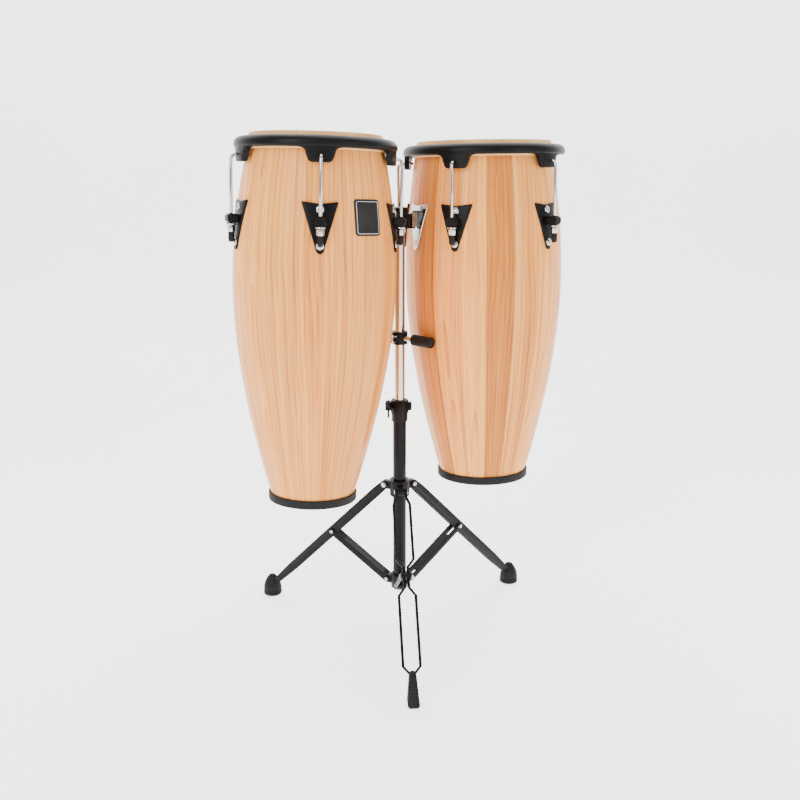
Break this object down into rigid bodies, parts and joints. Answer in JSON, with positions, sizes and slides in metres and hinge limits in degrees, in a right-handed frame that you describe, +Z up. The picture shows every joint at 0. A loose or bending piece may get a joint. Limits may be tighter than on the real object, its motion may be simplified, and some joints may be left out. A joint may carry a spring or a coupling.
{
  "type": "conga_drums_on_double_stand",
  "caption": "Two natural wood conga drums with black comfort rims and chrome tension rods, on a black and chrome double stand with a folding tripod.",
  "frame": {"origin": "middle of the bounding box, at floor level", "axes": "+Z up; -Y towards the player and the front leg; +X towards the larger drum"},
  "size_m": [0.6786, 0.635, 1.0993],
  "materials": {
    "wood": "clear satin lacquer over pale straight-grained staves",
    "skin": "natural rawhide",
    "black_metal": "satin black powder coat",
    "rubber": "matt moulded rubber",
    "chrome": "bright chrome plate"
  },
  "bodies": {
    "base": {"lower_tube": "black_metal", "lower_collar": "black_metal", "height_clamp": "black_metal"},
    "hub": {"hub": "black_metal"},
    "post": {"upper_post": "chrome", "top_bracket": "black_metal"},
    "left_leg": {"leg_left": "black_metal", "foot_left": "rubber"},
    "left_brace": {"brace_left": "black_metal"},
    "right_leg": {"leg_right": "black_metal", "foot_right": "rubber"},
    "right_brace": {"brace_right": "black_metal"},
    "front_leg": {"leg_front": "black_metal", "foot_front": "rubber"},
    "front_brace": {"brace_front": "black_metal"},
    "clamp_wing": {"clamp_wing": "black_metal"},
    "brace_arm": {"brace_arm": "chrome", "brace_sleeve_left": "rubber", "brace_sleeve_right": "rubber"},
    "brace_knob": {"brace_knob": "black_metal"},
    "left_drum": {"left_shell": "wood", "left_head": "skin", "left_rim": "black_metal", "left_bottom_ring": "rubber", "left_mount": "chrome", "left_rod_1": "chrome", "left_lug_1": "black_metal", "left_rod_2": "chrome", "left_lug_2": "black_metal", "left_rod_3": "chrome", "left_lug_3": "black_metal", "left_rod_4": "chrome", "left_lug_4": "black_metal", "left_rod_5": "chrome", "left_lug_5": "black_metal"},
    "left_nut_1": {"left_nut_1": "chrome"},
    "left_nut_2": {"left_nut_2": "chrome"},
    "left_nut_3": {"left_nut_3": "chrome"},
    "left_nut_4": {"left_nut_4": "chrome"},
    "left_nut_5": {"left_nut_5": "chrome"},
    "right_drum": {"right_shell": "wood", "right_head": "skin", "right_rim": "black_metal", "right_bottom_ring": "rubber", "right_mount": "chrome", "right_rod_1": "chrome", "right_lug_1": "black_metal", "right_rod_2": "chrome", "right_lug_2": "black_metal", "right_rod_3": "chrome", "right_lug_3": "black_metal", "right_rod_4": "chrome", "right_lug_4": "black_metal", "right_rod_5": "chrome", "right_lug_5": "black_metal"},
    "right_nut_1": {"right_nut_1": "chrome"},
    "right_nut_2": {"right_nut_2": "chrome"},
    "right_nut_3": {"right_nut_3": "chrome"},
    "right_nut_4": {"right_nut_4": "chrome"},
    "right_nut_5": {"right_nut_5": "chrome"}
  },
  "joints": [
    {"name": "hub_slide", "type": "slide", "parent": "base", "child": "hub", "axis": [0, 0, 1], "range_m": [0, 0.12221]},
    {"name": "left_leg_fold", "type": "hinge", "parent": "hub", "child": "left_leg", "pos_m": [-0.04222, 0.0494, 0.332], "axis": [-0.4115, -0.9114, 0], "range_deg": [0, 35.27]},
    {"name": "left_brace_fold", "type": "hinge", "parent": "base", "child": "left_brace", "pos_m": [-0.03611, 0.04664, 0.1056], "axis": [0.4115, 0.9114, 0], "range_deg": [0, 44.13]},
    {"name": "right_leg_fold", "type": "hinge", "parent": "hub", "child": "right_leg", "pos_m": [0.01774, 0.05591, 0.332], "axis": [-0.5976, 0.8018, 0], "range_deg": [0, 35.27]},
    {"name": "right_brace_fold", "type": "hinge", "parent": "base", "child": "right_brace", "pos_m": [0.01237, 0.05191, 0.1056], "axis": [0.5976, -0.8018, 0], "range_deg": [0, 44.13]},
    {"name": "front_leg_fold", "type": "hinge", "parent": "hub", "child": "front_leg", "pos_m": [-0.00745, 0.00011, 0.332], "axis": [0.9966, 0.0819, 0], "range_deg": [0, 35.27]},
    {"name": "front_brace_fold", "type": "hinge", "parent": "base", "child": "front_brace", "pos_m": [-0.008, 0.00679, 0.1056], "axis": [-0.9966, -0.0819, 0], "range_deg": [0, 44.13]},
    {"name": "post_slide", "type": "slide", "parent": "base", "child": "post", "axis": [0, 0, 1], "range_m": [-0.055, 0.1]},
    {"name": "clamp_wing_turn", "type": "hinge", "parent": "base", "child": "clamp_wing", "pos_m": [-0.03432, 0.03499, 0.5175], "axis": [0, -1, 0], "range_deg": [0, 180]},
    {"name": "brace_arm_slide", "type": "slide", "parent": "post", "child": "brace_arm", "axis": [0, 0, 1], "range_m": [-0.02, 0.005]},
    {"name": "brace_knob_turn", "type": "hinge", "parent": "brace_arm", "child": "brace_knob", "pos_m": [-0.02574, 0.01595, 0.66782], "axis": [-0.7771, 0.6293, 0], "range_deg": [0, 180]},
    {"name": "left_drum_lift", "type": "slide", "parent": "post", "child": "left_drum", "axis": [0.0261, 0.0958, 0.9951], "range_m": [0, 0.03]},
    {"name": "left_nut_1_turn", "type": "hinge", "parent": "left_drum", "child": "left_nut_1", "pos_m": [-0.15165, -0.23064, 0.9337], "axis": [-0.0261, -0.0958, -0.9951], "range_deg": [-180, 180]},
    {"name": "left_nut_2_turn", "type": "hinge", "parent": "left_drum", "child": "left_nut_2", "pos_m": [-0.00836, -0.09492, 0.91687], "axis": [-0.0261, -0.0958, -0.9951], "range_deg": [-180, 180]},
    {"name": "left_nut_3_turn", "type": "hinge", "parent": "left_drum", "child": "left_nut_3", "pos_m": [-0.09405, 0.08305, 0.90197], "axis": [-0.0261, -0.0958, -0.9951], "range_deg": [-180, 180]},
    {"name": "left_nut_4_turn", "type": "hinge", "parent": "left_drum", "child": "left_nut_4", "pos_m": [-0.29031, 0.05731, 0.90959], "axis": [-0.0261, -0.0958, -0.9951], "range_deg": [-180, 180]},
    {"name": "left_nut_5_turn", "type": "hinge", "parent": "left_drum", "child": "left_nut_5", "pos_m": [-0.32591, -0.13656, 0.9292], "axis": [-0.0261, -0.0958, -0.9951], "range_deg": [-180, 180]},
    {"name": "right_drum_lift", "type": "slide", "parent": "post", "child": "right_drum", "axis": [-0.0122, 0.0819, 0.9966], "range_m": [0, 0.03]},
    {"name": "right_nut_1_turn", "type": "hinge", "parent": "right_drum", "child": "right_nut_1", "pos_m": [0.09274, -0.0364, 0.90874], "axis": [0.0122, -0.0819, -0.9966], "range_deg": [-180, 180]},
    {"name": "right_nut_2_turn", "type": "hinge", "parent": "right_drum", "child": "right_nut_2", "pos_m": [0.3015, 0.00592, 0.90781], "axis": [0.0122, -0.0819, -0.9966], "range_deg": [-180, 180]},
    {"name": "right_nut_3_turn", "type": "hinge", "parent": "right_drum", "child": "right_nut_3", "pos_m": [0.32583, 0.21686, 0.89076], "axis": [0.0122, -0.0819, -0.9966], "range_deg": [-180, 180]},
    {"name": "right_nut_4_turn", "type": "hinge", "parent": "right_drum", "child": "right_nut_4", "pos_m": [0.13209, 0.30489, 0.88116], "axis": [0.0122, -0.0819, -0.9966], "range_deg": [-180, 180]},
    {"name": "right_nut_5_turn", "type": "hinge", "parent": "right_drum", "child": "right_nut_5", "pos_m": [-0.01196, 0.14837, 0.89226], "axis": [0.0122, -0.0819, -0.9966], "range_deg": [-180, 180]}
  ],
  "couplings": [
    {"joint": "left_leg_fold", "follows": "hub_slide", "rad_per_m": 5.0345},
    {"joint": "left_brace_fold", "follows": "hub_slide", "rad_per_m": 6.2993},
    {"joint": "right_leg_fold", "follows": "hub_slide", "rad_per_m": 5.0345},
    {"joint": "right_brace_fold", "follows": "hub_slide", "rad_per_m": 6.2993},
    {"joint": "front_leg_fold", "follows": "hub_slide", "rad_per_m": 5.0345},
    {"joint": "front_brace_fold", "follows": "hub_slide", "rad_per_m": 6.2993}
  ]
}
